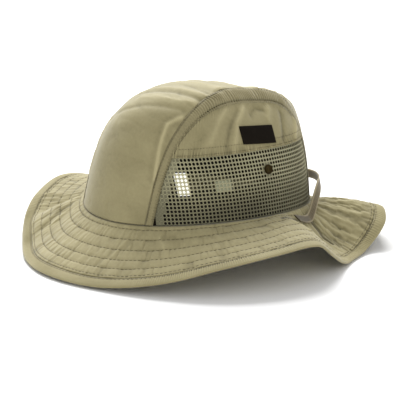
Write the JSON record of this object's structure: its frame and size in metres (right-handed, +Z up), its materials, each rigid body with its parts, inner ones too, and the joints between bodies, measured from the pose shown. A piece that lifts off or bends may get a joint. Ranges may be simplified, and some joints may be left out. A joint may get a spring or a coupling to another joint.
{
  "type": "hiking hat",
  "caption": "Wide-brimmed cloth sun hat with net side windows, a quilted brim and a tape round the back of the crown, resting on its brim.",
  "frame": {"origin": "middle of the hat's outline, on the surface that it rests on", "axes": "+Z up, -Y towards the front of the hat, +X towards the wearer's left"},
  "size_m": [0.2972, 0.3118, 0.1384],
  "materials": {
    "crown_cloth": "fine woven nylon, slight sheen",
    "brim_cloth": "fine woven nylon, quilted in rows",
    "net": "knitted polyester net",
    "tape": "ribbed woven tape",
    "band_cloth": "dark brushed cloth",
    "label_cloth": "black woven label",
    "tag_white": "white satin ribbon",
    "tag_grey": "grey-green ribbon",
    "snap_metal": "dark lacquered cap"
  },
  "bodies": {
    "root": {"crown_panel": "crown_cloth", "seam_band_left": "crown_cloth", "seam_band_right": "crown_cloth", "side_panel_left": "crown_cloth", "side_panel_right": "crown_cloth", "net_left": "net", "net_right": "net", "snap_left": "snap_metal", "snap_right": "snap_metal", "brim": "brim_cloth", "brim_hem": "brim_cloth", "sweatband": "band_cloth", "back_strap": "tape", "label": "label_cloth", "care_tag": "tag_white", "size_tag": "tag_grey"}
  },
  "joints": []
}
